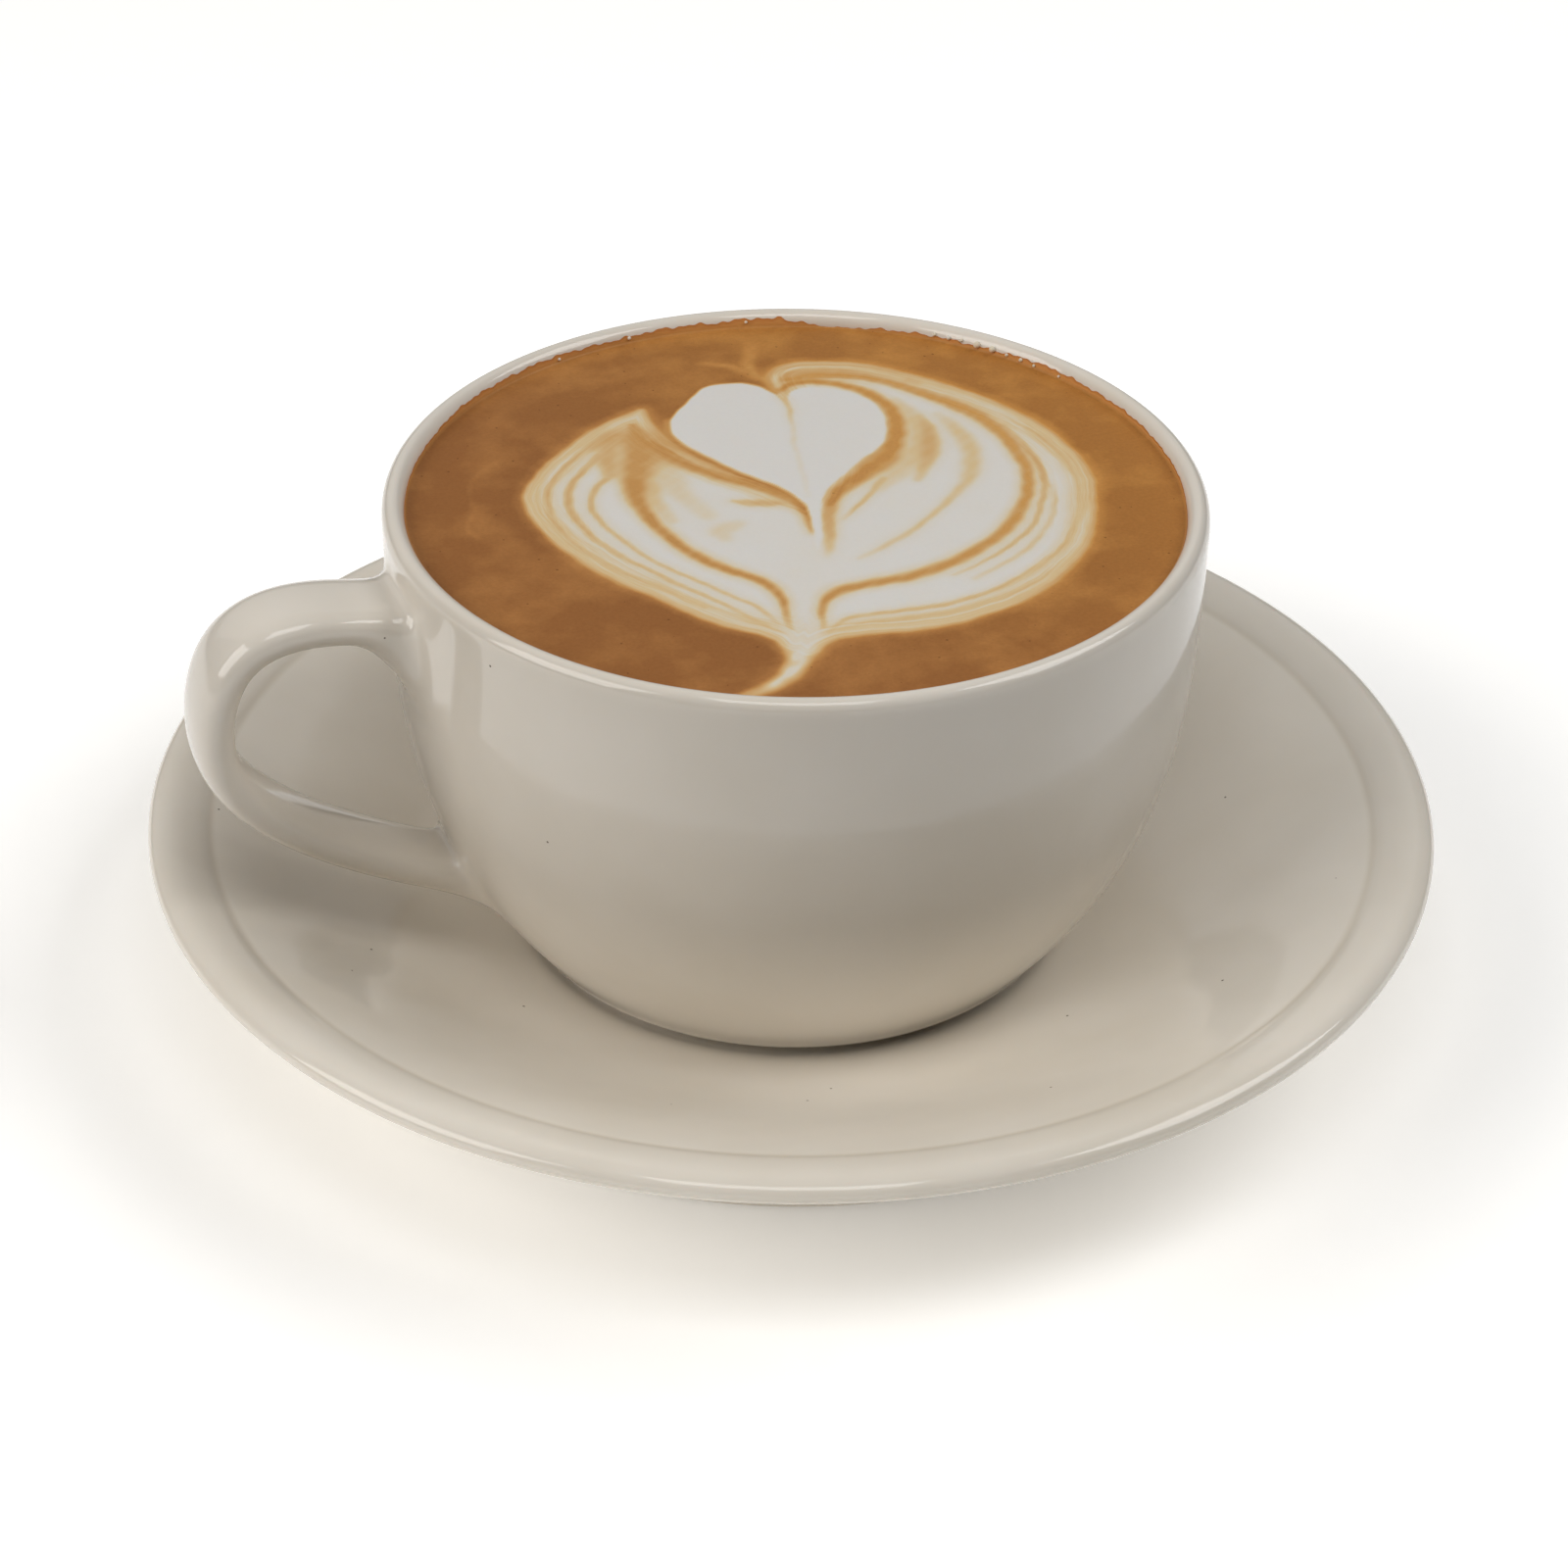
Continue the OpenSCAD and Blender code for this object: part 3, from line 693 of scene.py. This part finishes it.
TRAILS_RIGHT = [
    (0.46, [(-3.2, 31.2, 1.2, 1), (-1.6, 33.2, 1.9, 1), (2.0, 34.0, 2.2, 1), (6.4, 34.2, 1.8, 0.9),
            (10.6, 33.4, 1.4, 0.6), (15.0, 31.4, 1.0, 0.3)]),
    (0.82, [(-2.5, 29.4, 0.45, 0.9), (-2.8, 31.4, 0.55, 1), (-2.3, 33.1, 0.5, 0.9),
            (-0.9, 34.3, 0.5, 0.9), (1.8, 35.1, 0.5, 0.9), (5.2, 35.1, 0.5, 0.9), (8.8, 34.2, 0.6, 0.9),
            (13.2, 32.3, 0.7, 0.8)]),
    (0.36, [(-1.4, 31.4, 0.6, 0.9), (0.8, 32.3, 0.8, 1), (4.2, 32.9, 0.75, 1), (7.6, 32.5, 0.8, 1),
            (10.3, 31.6, 0.9, 1), (13.0, 30.3, 1.0, 1), (15.8, 28.5, 1.1, 1), (18.5, 26.3, 1.2, 1),
            (20.9, 24.0, 1.25, 1), (22.9, 21.6, 1.2, 1), (24.7, 18.9, 1.1, 1), (26.1, 15.9, 1.0, 1),
            (27.1, 12.8, 0.95, 1), (27.7, 9.8, 0.85, 1), (27.9, 6.7, 0.8, 1), (27.8, 3.9, 0.8, 1),
            (27.5, 1.2, 0.8, 1), (26.9, -1.2, 0.8, 1), (26.1, -3.6, 0.85, 1), (24.9, -6.1, 0.85, 1),
            (23.3, -8.7, 0.85, 1), (21.3, -11.3, 0.9, 1), (19.2, -13.5, 0.95, 1),
            (17.1, -15.3, 0.95, 1), (14.7, -17.0, 0.95, 1), (12.4, -18.3, 0.9, 1),
            (9.8, -19.4, 0.85, 1), (7.4, -20.2, 0.85, 1), (5.3, -21.2, 0.9, 1), (3.9, -22.7, 0.8, 1),
            (3.2, -24.6, 0.55, 0.9), (3.1, -26.7, 0.45, 0.7), (3.3, -29.4, 0.35, 0.3)]),
    (0.80, [(12.6, 26.0, 0.8, 0.4), (14.2, 22.4, 1.2, 0.8), (15.2, 18.4, 1.4, 0.9),
            (15.2, 14.4, 1.5, 0.9), (14.0, 10.4, 1.6, 0.9), (12.2, 6.6, 1.4, 0.7),
            (10.0, 3.2, 1.1, 0.4)]),
    (0.56, [(15.3, 22.0, 0.6, 0.3), (16.2, 18.6, 1.0, 0.8), (16.5, 14.9, 1.3, 0.95),
            (16.1, 11.6, 1.2, 0.85), (15.4, 8.5, 0.9, 0.6), (14.6, 5.6, 0.7, 0.3)]),
    (0.28, [(-1.9, 28.4, 0.45, 0.9), (-1.2, 29.9, 0.6, 1), (0.8, 31.0, 0.75, 1), (3.6, 30.9, 0.75, 1),
            (6.4, 29.9, 0.8, 1), (8.8, 28.1, 0.9, 1), (10.6, 25.8, 1.0, 1), (11.7, 23.0, 1.15, 1),
            (12.3, 19.8, 1.3, 1), (12.2, 16.4, 1.4, 1), (11.6, 13.2, 1.7, 1), (10.3, 10.4, 2.0, 1),
            (8.6, 7.7, 1.9, 1), (6.9, 5.2, 1.5, 1), (5.5, 2.8, 1.15, 1), (4.5, 0.4, 0.95, 1),
            (4.0, -2.6, 0.8, 0.8), (3.9, -5.4, 0.65, 0.5), (3.9, -8.4, 0.6, 0.2)]),
    (0.56, [(4.0, -2.0, 0.7, 0.7), (3.9, -5.4, 0.7, 0.8), (3.9, -8.8, 0.75, 0.7),
            (4.0, -11.6, 0.7, 0.4), (3.8, -13.6, 0.5, 0.1)]),
    (0.74, [(17.4, 22.6, 0.9, 0.3), (19.4, 19.2, 1.2, 0.7), (20.9, 15.6, 1.4, 0.8),
            (21.4, 12.0, 1.4, 0.8), (21.1, 8.4, 1.3, 0.8), (20.4, 5.2, 1.0, 0.8), (19.2, 2.2, 0.7, 0.8),
            (17.2, -1.5, 0.5, 0.8), (15.1, -5.0, 0.5, 0.8), (12.7, -8.4, 0.5, 0.7),
            (10.0, -11.4, 0.5, 0.6), (7.4, -14.0, 0.4, 0.3)]),
    (0.62, [(10.4, 5.4, 0.5, 0.6), (8.9, 1.6, 0.4, 0.7), (7.4, -1.6, 0.35, 0.7),
            (5.8, -4.6, 0.3, 0.3)]),
    (0.56, [(25.6, 19.6, 0.4, 0.5), (27.2, 16.4, 0.45, 0.7), (28.4, 13.4, 0.5, 0.9),
            (29.3, 10.2, 0.5, 1), (29.8, 7.0, 0.45, 1), (29.8, 3.8, 0.4, 0.8), (29.5, 0.6, 0.4, 0.8),
            (28.8, -2.8, 0.35, 0.7), (27.6, -6.2, 0.35, 0.7), (26.0, -9.0, 0.35, 0.7),
            (24.0, -11.8, 0.3, 0.6), (21.6, -14.6, 0.3, 0.5), (18.4, -17.4, 0.3, 0.3)]),
    (0.66, [(28.4, 19.2, 0.5, 0.5), (30.8, 15.8, 0.5, 0.7), (32.4, 12.4, 0.5, 0.8),
            (33.5, 8.6, 0.5, 0.8), (34.0, 4.4, 0.5, 0.8), (34.0, 0.4, 0.5, 0.8),
            (33.5, -3.2, 0.45, 0.8), (32.6, -6.6, 0.45, 0.8), (31.2, -10.0, 0.45, 0.8),
            (29.5, -13.2, 0.45, 0.8), (27.2, -16.5, 0.45, 0.8), (24.5, -19.4, 0.45, 0.8),
            (21.4, -21.8, 0.45, 0.9), (17.8, -23.7, 0.45, 0.9), (13.9, -25.2, 0.45, 0.9),
            (9.8, -26.4, 0.4, 0.9), (6.2, -27.5, 0.4, 0.8), (4.8, -28.9, 0.35, 0.6),
            (4.1, -30.6, 0.3, 0.3)]),
    (0.70, [(29.6, -16.2, 0.4, 0.4), (26.6, -19.8, 0.4, 0.7), (23.0, -22.8, 0.4, 0.7),
            (19.0, -25.1, 0.4, 0.7), (15.2, -26.6, 0.4, 0.8), (11.2, -27.8, 0.4, 0.8),
            (7.8, -28.7, 0.35, 0.7), (5.4, -29.9, 0.3, 0.4)]),
    (0.74, [(30.6, 4.6, 0.4, 0.4), (31.0, 1.0, 0.4, 0.7), (30.4, -3.0, 0.4, 0.7),
            (29.0, -7.0, 0.4, 0.7), (27.0, -11.0, 0.4, 0.7), (24.2, -14.8, 0.4, 0.6),
            (20.8, -18.2, 0.4, 0.4)]),
]

# Trails between heart and wing, and inside the heart
TRAILS_HEART = [
    (0.24, [(-16.2, 19.6, 0.5, 0.8), (-15.9, 17.0, 0.6, 1), (-14.8, 14.6, 0.6, 1),
            (-13.0, 12.1, 0.55, 1), (-10.7, 9.6, 0.5, 1), (-8.2, 7.1, 0.45, 1), (-5.9, 5.2, 0.45, 1),
            (-3.7, 3.6, 0.45, 1), (-1.6, 2.0, 0.45, 1), (0.2, 0.1, 0.45, 1), (1.2, -2.0, 0.4, 0.9),
            (1.6, -4.6, 0.35, 0.7), (1.9, -7.6, 0.3, 0.4)]),
]
HEART_SEAM = (0.72, [(-2.2, 27.0, 0.5, 1), (-1.6, 25.4, 0.45, 0.9), (-1.1, 23.2, 0.4, 0.7),
                     (-0.8, 20.4, 0.35, 0.5), (-0.4, 17.4, 0.4, 0.3), (-0.2, 13.8, 0.4, 0.2),
                     (0.3, 9.8, 0.4, 0.16), (0.8, 5.4, 0.4, 0.14), (1.6, 1.0, 0.4, 0.1)])

# The stem between the wings, the tail that the last of the milk drew to the wall, and pale wisps
# in the crema
STEM = (0.98, [(1.8, -1.0, 1.6, 0.6), (1.8, -4.0, 2.2, 1), (1.4, -10.0, 3.0, 1), (1.2, -18.0, 3.0, 1),
               (1.0, -25.0, 2.6, 1), (1.0, -31.0, 2.0, 1)])
TAIL = (0.93, [(1.0, -30.0, 2.4, 1), (0.9, -33.6, 1.9, 1), (0.5, -36.4, 1.45, 1),
               (-0.2, -39.0, 1.35, 1), (-1.3, -41.1, 1.2, 0.9), (-3.0, -42.9, 1.1, 0.75),
               (-4.8, -44.4, 1.0, 0.6), (-6.4, -45.6, 0.9, 0.4)])
WISPS = [
    (0.30, [(-6.2, 41.5, 1.2, 0.3), (-6.3, 38.6, 1.0, 0.7), (-6.6, 35.8, 0.9, 0.8),
            (-5.6, 33.0, 0.8, 0.9), (-4.0, 30.8, 0.7, 0.9), (-2.6, 28.4, 0.6, 0.9)]),
    (0.26, [(-12.6, 35.8, 0.5, 0.4), (-9.4, 35.2, 0.6, 0.8), (-7.2, 33.8, 0.6, 0.8),
            (-5.4, 31.4, 0.5, 0.6)]),
    (0.08, [(-33.0, 26.0, 1.8, 0.2), (-37.0, 17.0, 2.2, 0.7), (-38.6, 6.0, 1.6, 0.7),
            (-37.4, -4.0, 1.2, 0.6), (-38.4, -10.0, 0.8, 0.4)]),
    (0.12, [(-36.0, 9.0, 0.5, 0.2), (-38.4, 5.0, 0.5, 0.7), (-39.0, 0.6, 0.45, 0.8),
            (-38.0, -3.4, 0.4, 0.7), (-38.6, -7.6, 0.4, 0.8), (-37.2, -10.6, 0.35, 0.6)]),
    (0.13, [(-41.0, 22.0, 1.6, 0.3), (-37.0, 29.0, 1.8, 0.7), (-31.0, 34.6, 1.6, 0.7),
            (-24.0, 38.6, 1.5, 0.5)]),
    (0.08, [(-30.0, 27.0, 2.6, 0.4), (-24.0, 32.0, 2.4, 0.7), (-16.0, 36.0, 2.0, 0.5)]),
]


def wander(place):
    """Small wobbles of the flow, about a fifth of a millimetre, so that no trail runs too true."""
    x, y = place.T
    shift_x = 0.04 * np.sin(1.9 * y + 0.7 * x) + 0.05 * np.sin(0.9 * y - 0.4 * x + 1.0)
    shift_y = 0.04 * np.sin(2.1 * x - 0.6 * y + 0.5) + 0.05 * np.sin(0.8 * x + 0.5 * y)
    shift_x += 0.10 * np.sin(0.4 * y + 2.0)
    shift_y += 0.10 * np.sin(0.45 * x + 0.3)
    return place + np.stack([shift_x, shift_y], axis=1)


def pour_pattern(true_place):
    """How much milk shows at each place, 0 to 1, and how far it lies inside a wing's edge, in mm."""
    place = wander(true_place)
    left = inside_depth(place, LEFT_WING)
    right = inside_depth(place, RIGHT_WING)
    wing = np.maximum(left, right)
    milk = 0.03 + 0.13 * smoothstep(-1.8, -0.2, wing)
    milk += 0.54 * smoothstep(-0.45, 0.5, wing) + 0.12 * smoothstep(0.3, 1.5, wing)
    milk += 0.17 * smoothstep(1.5, 5.0, wing)
    for amount, points in WISPS:
        draw_stroke(milk, place, points, amount)
    for amount, points in (STEM, TAIL):
        draw_stroke(milk, place, points, amount)
    for amount, points in TRAILS_LEFT + TRAILS_RIGHT + TRAILS_HEART:
        draw_stroke(milk, place, points, amount)
    heart = inside_depth(place, HEART)
    milk += (1.0 - milk) * smoothstep(-0.28, 0.30, heart)
    draw_stroke(milk, place, HEART_SEAM[1], HEART_SEAM[0])
    return milk, wing


# ---------------------------------------------------------------- drink

GRID_CELLS = 292
EDGE_RINGS = 10
# The drink is flat out to FLAT_R, curls up by CURL_H in the first part of its edge rings, climbs
# the wall as a film, and ends just inside the wall
FLAT_R = INNER_R - 1.3
CURL_H = 0.25
CURL_SHARE = 0.45
FILM_SHARE = 0.9
FILM_GAP = 0.07
WALL_BITE = 0.35
# The hidden underside: a nearly upright part and below it a narrowing one
SIDE_DROP = 20
BASE_DROP = 26


def stain_height(angle):
    """How far the crema has dried up the wall, in mm, round the cup as the pourer sees it."""
    slow = 0.22 * math.sin(3 * angle + 0.8) + 0.14 * math.sin(7 * angle + 2.1) + 0.08 * math.sin(17 * angle)
    ragged = 0.09 * math.sin(61 * angle + 1.3) + 0.08 * math.sin(113 * angle + 0.4)
    ragged += 0.07 * math.sin(197 * angle + 2.0)
    behind = max(0.0, math.sin(angle)) ** 0.5
    height = 0.35 + behind * (0.62 + slow + ragged)
    washed = math.exp(-((angle - math.radians(85)) / 0.085) ** 2)
    peaks = math.exp(-((angle - math.radians(93)) / 0.022) ** 2)
    peaks += math.exp(-((angle - math.radians(98)) / 0.05) ** 2)
    return min(1.45, max(0.15, height - 0.55 * washed + 0.35 * peaks))


def wall_radius(z):
    """Inner radius of the cup's wall near the rim, its rounded lip included."""
    lip_z = CUP_TOP - LIP_H
    if z <= lip_z:
        return INNER_R
    rise = min(1.0, (z - lip_z) / LIP_H)
    return CUP_R - WALL / 2 - WALL / 2 * math.sqrt(1 - rise * rise)


def edge_point(share, angle):
    """Where the drink's edge lies, share 0 to 1 from its flat top up the wall and into it."""
    height = stain_height(angle)
    if share < CURL_SHARE:
        t = share / CURL_SHARE
        bend = 1 - math.sqrt(max(0.0, 1 - t * t))
        return FLAT_R + (INNER_R - FILM_GAP - FLAT_R) * t, DRINK_Z + CURL_H * bend
    if share < FILM_SHARE:
        z = DRINK_Z + CURL_H + (height - CURL_H) * (share - CURL_SHARE) / (FILM_SHARE - CURL_SHARE)
        z = max(z, DRINK_Z + CURL_H)
        return wall_radius(z) - FILM_GAP, z
    t = (share - FILM_SHARE) / (1 - FILM_SHARE)
    z = max(DRINK_Z + height, DRINK_Z + CURL_H)
    return wall_radius(z) - FILM_GAP + WALL_BITE * t, z - 0.1 * t


def make_drink(material):
    """The drink: a fine square grid drawn out to a disc, its edge climbing the wall, closed below."""
    deselect_all()
    bpy.ops.mesh.primitive_grid_add(x_subdivisions=GRID_CELLS, y_subdivisions=GRID_CELLS, size=2.0)
    piece = bpy.context.object
    count = len(piece.data.vertices)
    flat = np.empty(count * 3)
    piece.data.vertices.foreach_get("co", flat)
    a, b = flat.reshape(-1, 3)[:, :2].T
    ring = np.maximum(np.abs(a), np.abs(b))
    wide = np.abs(a) >= np.abs(b)
    sign = np.where(np.where(wide, a, b) < 0, math.pi, 0.0)
    angle = np.where(wide, math.pi / 4 * b / np.where(wide, np.where(a == 0, 1, a), 1),
                     math.pi / 2 - math.pi / 4 * a / np.where(wide, 1, np.where(b == 0, 1, b))) + sign
    inner_share = 1 - EDGE_RINGS / (GRID_CELLS // 2)
    radius = FLAT_R * ring / inner_share
    height = np.full(count, DRINK_Z)
    stain_and_film_light = np.zeros(count)
    for i in np.flatnonzero(ring > inner_share + 1e-6):
        share = (ring[i] - inner_share) / (1 - inner_share)
        radius[i], height[i] = edge_point(share, angle[i] % (2 * math.pi))
        stain_and_film_light[i] = share
    right, away = radius * np.cos(angle), radius * np.sin(angle)
    place = np.stack([right, away], axis=1)
    milk, wing = pour_pattern(place)

    # Milk foam stands a few hundredths of a millimetre above the crema
    height += 0.05 * smoothstep(0.3, 1.0, milk) * (ring < inner_share)
    cos_t, sin_t = math.cos(POUR_TURN), math.sin(POUR_TURN)
    spots = np.stack([right * cos_t - away * sin_t, right * sin_t + away * cos_t, height], axis=1) * MM
    piece.data.vertices.foreach_set("co", spots.ravel())

    far = smoothstep(-25, 50, 0.65 * away + 0.75 * right)
    bands = {"milk": milk, "drift": np.clip(wing, 0, 12), "stain_and_film_light": stain_and_film_light, "far": far}
    for name, values in bands.items():
        piece.data.attributes.new(name, "FLOAT", "POINT").data.foreach_set("value", values)

    # Close the solid: draw the edge down inside the wall and fill the bottom
    bpy.ops.object.mode_set(mode="EDIT")
    bpy.ops.mesh.select_mode(type="EDGE")
    bpy.ops.mesh.select_all(action="DESELECT")
    shape = bmesh.from_edit_mesh(piece.data)
    for edge in shape.edges:
        edge.select = edge.is_boundary
    bmesh.update_edit_mesh(piece.data)
    bpy.ops.mesh.extrude_edges_move(TRANSFORM_OT_translate={"value": (0, 0, -SIDE_DROP * MM)})
    bpy.ops.transform.resize(value=(0.985, 0.985, 0))
    bpy.ops.mesh.extrude_edges_move(TRANSFORM_OT_translate={"value": (0, 0, -BASE_DROP * MM)})
    bpy.ops.transform.resize(value=(0.66, 0.66, 1))
    bpy.ops.mesh.edge_face_add()
    bpy.ops.mesh.select_all(action="SELECT")
    bpy.ops.mesh.normals_make_consistent(inside=False)
    bpy.ops.mesh.select_mode(type="VERT")
    bpy.ops.object.mode_set(mode="OBJECT")
    bpy.ops.object.shade_smooth_by_angle(angle=math.radians(60))
    finish_piece(piece, "latte", material, "drink")
    return piece


# Each bubble: its angle round the cup in degrees, its height over the drink and its radius in mm
BUBBLES = [(60.4, 0.88, 0.46), (57.6, 0.84, 0.42), (63.2, 0.95, 0.24), (65.4, 0.90, 0.28),
           (54.9, 0.70, 0.22), (52.2, 0.66, 0.26), (67.8, 0.95, 0.20), (49.6, 0.55, 0.20),
           (98.5, 0.90, 0.20), (118.0, 0.80, 0.24), (131.0, 0.62, 0.20), (44.5, 0.50, 0.18)]
# Near white: partly the froth's own colour, partly a painted highlight standing in for the glints on the
# bubbles
FROTH_WHITE_PAINTED_GLINT = 0.93


def make_bubbles(material):
    """A few bubbles left at the edge of the film on the back wall, half sunk in it, drawn
    near white: partly the froth's colour, partly a painted highlight for their glints.
    """
    pieces = []
    for degrees, height, radius in BUBBLES:
        turn = math.radians(degrees) + POUR_TURN
        z = DRINK_Z + height
        reach = wall_radius(z) - 0.15
        place = Vector((reach * math.cos(turn), reach * math.sin(turn), z)) * MM
        deselect_all()
        bpy.ops.mesh.primitive_uv_sphere_add(segments=16, ring_count=10, radius=radius * MM, location=place)
        pieces.append(bpy.context.object)
    deselect_all()
    for piece in pieces:
        piece.select_set(True)
    bpy.context.view_layer.objects.active = pieces[0]
    bpy.ops.object.join()
    bubbles = bpy.context.object
    bpy.ops.object.transform_apply(location=True)
    bpy.ops.object.shade_smooth()
    count = len(bubbles.data.vertices)
    for name, value in (("milk", FROTH_WHITE_PAINTED_GLINT), ("stain_and_film_light", 0.0)):
        band = bubbles.data.attributes.new(name, "FLOAT", "POINT")
        band.data.foreach_set("value", np.full(count, value))
    finish_piece(bubbles, "foam_bubbles", material, "drink")
    return bubbles


# ---------------------------------------------------------------- setting, in metres

PAPER_R = 0.15
BACKDROP_SIZE = 6.0
LIGHT_RANGE = 1.1
LIGHT_AIM_Z = 0.04


def make_floor(material):
    """A sheet of paper, and round it a backdrop just below, whose glow is flagged off the ware."""
    deselect_all()
    bpy.ops.mesh.primitive_circle_add(vertices=96, radius=PAPER_R, fill_type="NGON", location=(0, 0, 0))
    sheet = bpy.context.object
    sheet.name = "floor_paper"
    deselect_all()
    bpy.ops.mesh.primitive_plane_add(size=BACKDROP_SIZE, location=(0, 0, -0.05 * MM))
    backdrop = bpy.context.object
    backdrop.name = "floor_backdrop"
    backdrop.visible_diffuse = False
    for floor in (sheet, backdrop):
        floor.data.materials.append(material)


def make_camera():
    """A long lens in front of the pattern, looking down at the cup."""
    turn = Matrix.Rotation(POUR_TURN, 3, "Z")
    back = Vector((0, -math.cos(CAMERA_ELEVATION), math.sin(CAMERA_ELEVATION)))
    place = Vector((0, 0, CAMERA_AIM_Z * MM)) + back * CAMERA_RANGE * MM
    look = Matrix.Rotation(-CAMERA_YAW, 3, "Z") @ Vector((0, math.cos(CAMERA_DIP), -math.sin(CAMERA_DIP)))
    side = look.cross(Vector((0, 0, 1))).normalized()
    up = side.cross(look)
    rolled_side = math.cos(CAMERA_ROLL) * side + math.sin(CAMERA_ROLL) * up
    rolled_up = -math.sin(CAMERA_ROLL) * side + math.cos(CAMERA_ROLL) * up
    axes = turn @ Matrix((rolled_side, rolled_up, -look)).transposed()
    data = bpy.data.cameras.new("camera")
    data.lens = CAMERA_LENS
    data.sensor_width = 36.0
    data.clip_start = 0.01
    camera = bpy.data.objects.new("camera", data)
    camera.matrix_world = Matrix.Translation(turn @ place) @ axes.to_4x4()
    bpy.context.collection.objects.link(camera)
    bpy.context.scene.camera = camera


def soft_light(name, around, rise, width, height, power, colour="#FFFFFF"):
    """A rectangular soft box aimed at the cup: around is its direction in degrees, clockwise from
    the camera seen from above, and rise its elevation."""
    data = bpy.data.lights.new(name, "AREA")
    data.shape = "RECTANGLE"
    data.size = width
    data.size_y = height
    data.energy = power
    data.color = linear(colour)[:3]
    light = bpy.data.objects.new(name, data)
    aim = Vector((0, 0, LIGHT_AIM_Z))
    lift = math.radians(rise)
    off = Vector((0, -LIGHT_RANGE * math.cos(lift), LIGHT_RANGE * math.sin(lift)))
    off = Matrix.Rotation(POUR_TURN - math.radians(around), 3, "Z") @ off
    light.location = aim + off
    light.rotation_euler = (-off).to_track_quat("-Z", "Y").to_euler()
    bpy.context.collection.objects.link(light)


def make_lights():
    """Four soft boxes and a faint even sky."""
    soft_light("left_box", 65, 31, 0.75, 0.70, 6.5, "#FFFCF8")
    soft_light("right_box", 270, 48, 0.70, 0.55, 5.0)
    soft_light("front_box", 0, 68, 0.55, 0.45, 2.7)
    soft_light("back_box", 160, 34, 1.60, 0.90, 1.5)
    world = bpy.data.worlds.new("studio")
    world.use_nodes = True
    sky = world.node_tree.nodes["Background"]
    sky.inputs["Color"].default_value = linear("#FFFFFF")
    sky.inputs["Strength"].default_value = 0.02
    bpy.context.scene.world = world
    bpy.context.scene.view_settings.view_transform = "Standard"


saucer_glaze = glazed_stoneware("saucer_tin_glaze", "#ECE5D9", "#E5DDCF", 0.6, SAUCER_R - 7.6)
# The cup's glaze is set a little darker than the saucer's: painted shade for the cup's less lit walls
cup_glaze = glazed_stoneware("cup_tin_glaze", "#E6DFD4", "#E0D8CB", WELL_Z + 0.4, BOWL_LOW_R - 1.2)
foam = latte_foam("milk_microfoam_and_crema")
paper = pale_paper("studio_paper")

make_saucer(saucer_glaze)
make_cup(cup_glaze)
make_drink(foam)
make_bubbles(foam)
make_floor(paper)
make_camera()
make_lights()
